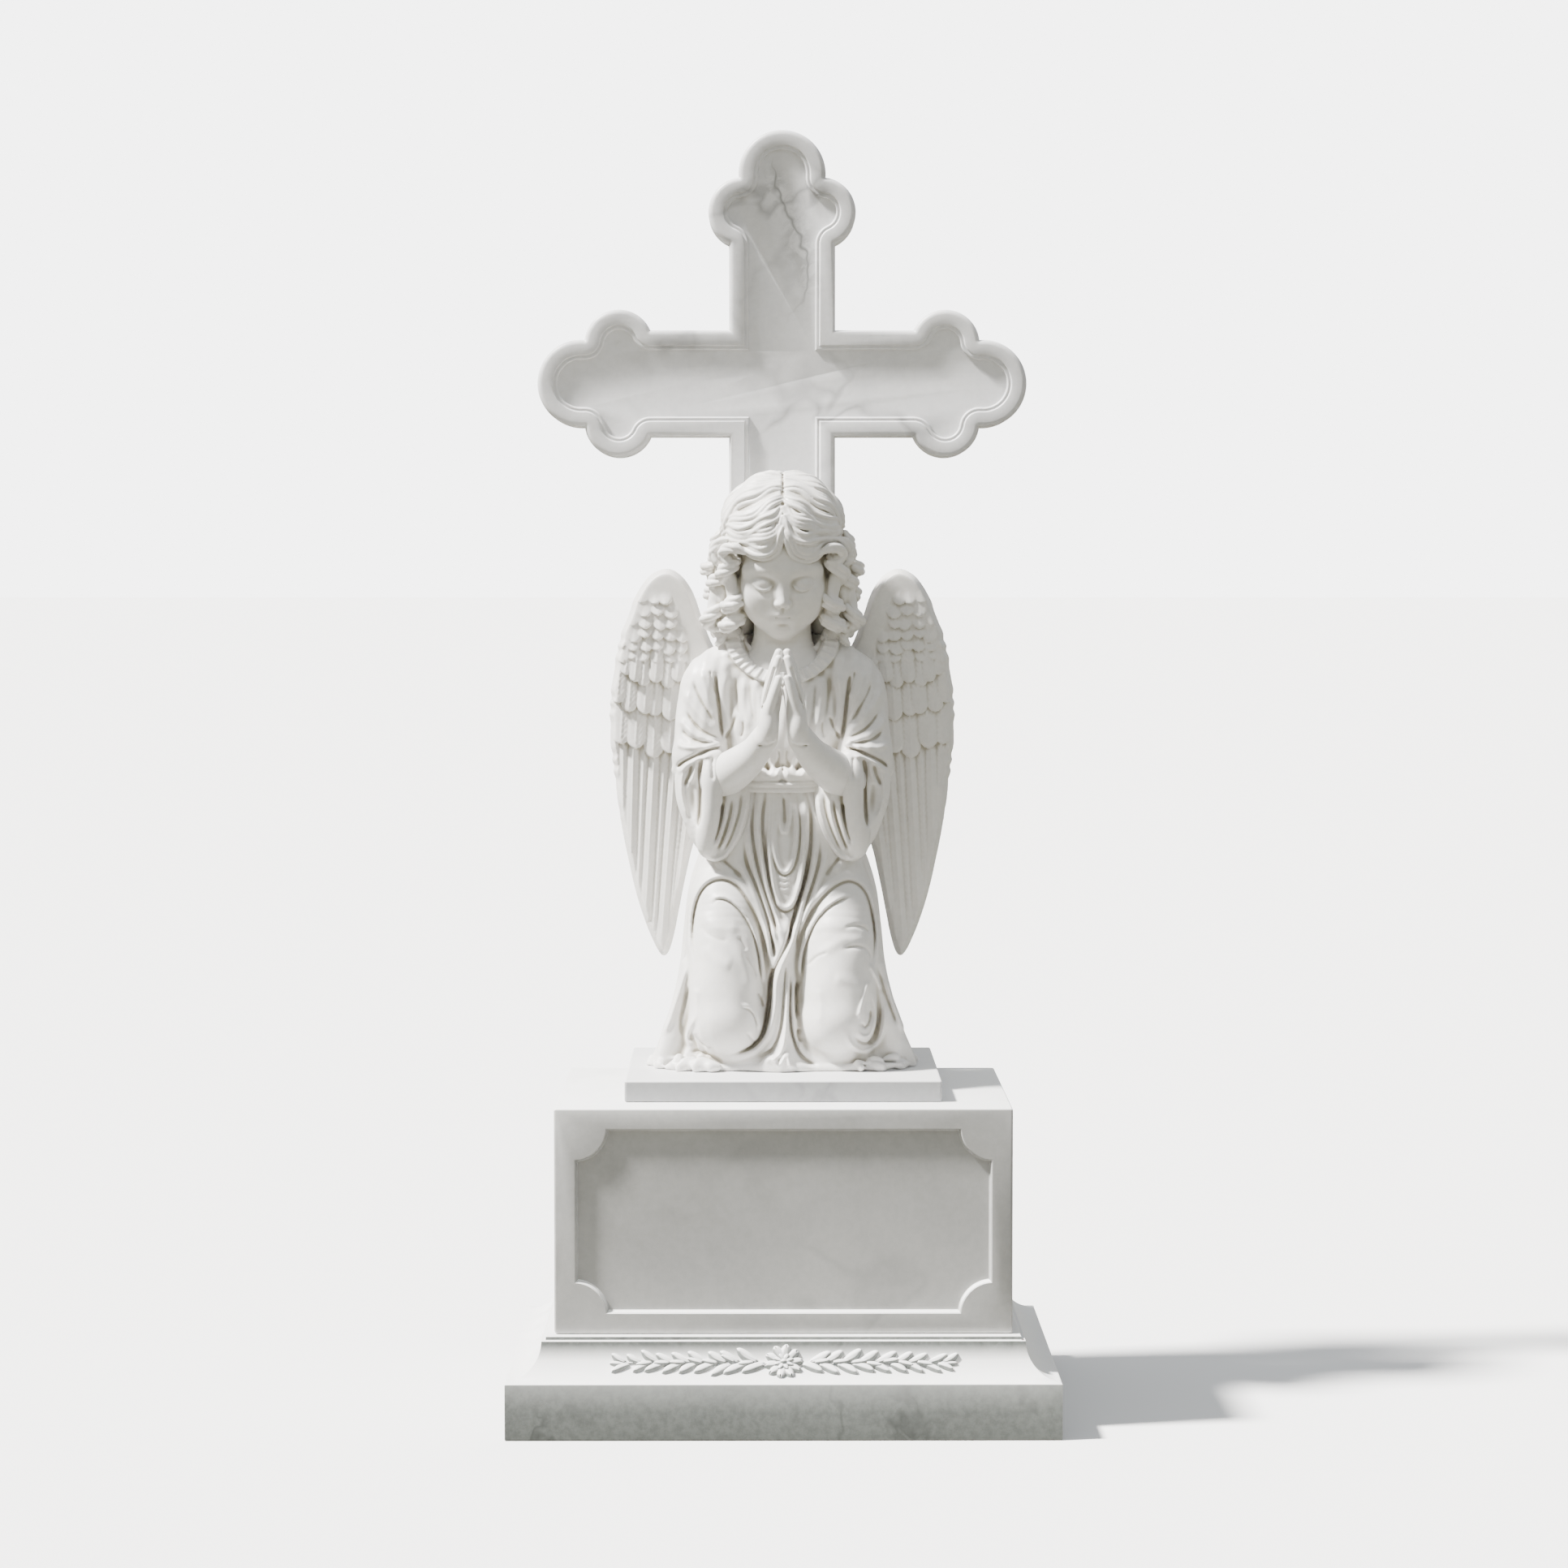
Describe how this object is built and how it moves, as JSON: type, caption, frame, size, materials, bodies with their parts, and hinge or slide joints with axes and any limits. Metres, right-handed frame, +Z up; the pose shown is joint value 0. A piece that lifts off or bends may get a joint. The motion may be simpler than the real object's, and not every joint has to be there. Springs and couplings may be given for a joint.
{
  "type": "angel headstone",
  "caption": "Marble headstone: a kneeling winged angel in prayer before a cross with budded ends, on a slab, a panelled die block and a coved plinth with a carved leaf spray.",
  "frame": {"origin": "centre of the plinth's underside, on the ground", "axes": "+Z up, +X to the right seen from the front, -Y towards the viewer: the angel and the panel face -Y"},
  "size_m": [0.8, 0.6, 1.9184],
  "materials": {
    "marble_plinth": "honed grey-white marble with fine speckled veins",
    "marble_die": "honed white marble, softly clouded",
    "marble_slab": "honed white marble",
    "marble_angel": "carved and rubbed warm white marble",
    "marble_cross": "honed white marble with a cluster of dark grey veins"
  },
  "bodies": {
    "root": {"base_plinth": "marble_plinth", "die_block": "marble_die", "figure_slab": "marble_slab", "angel": "marble_angel", "cross": "marble_cross"}
  },
  "joints": []
}
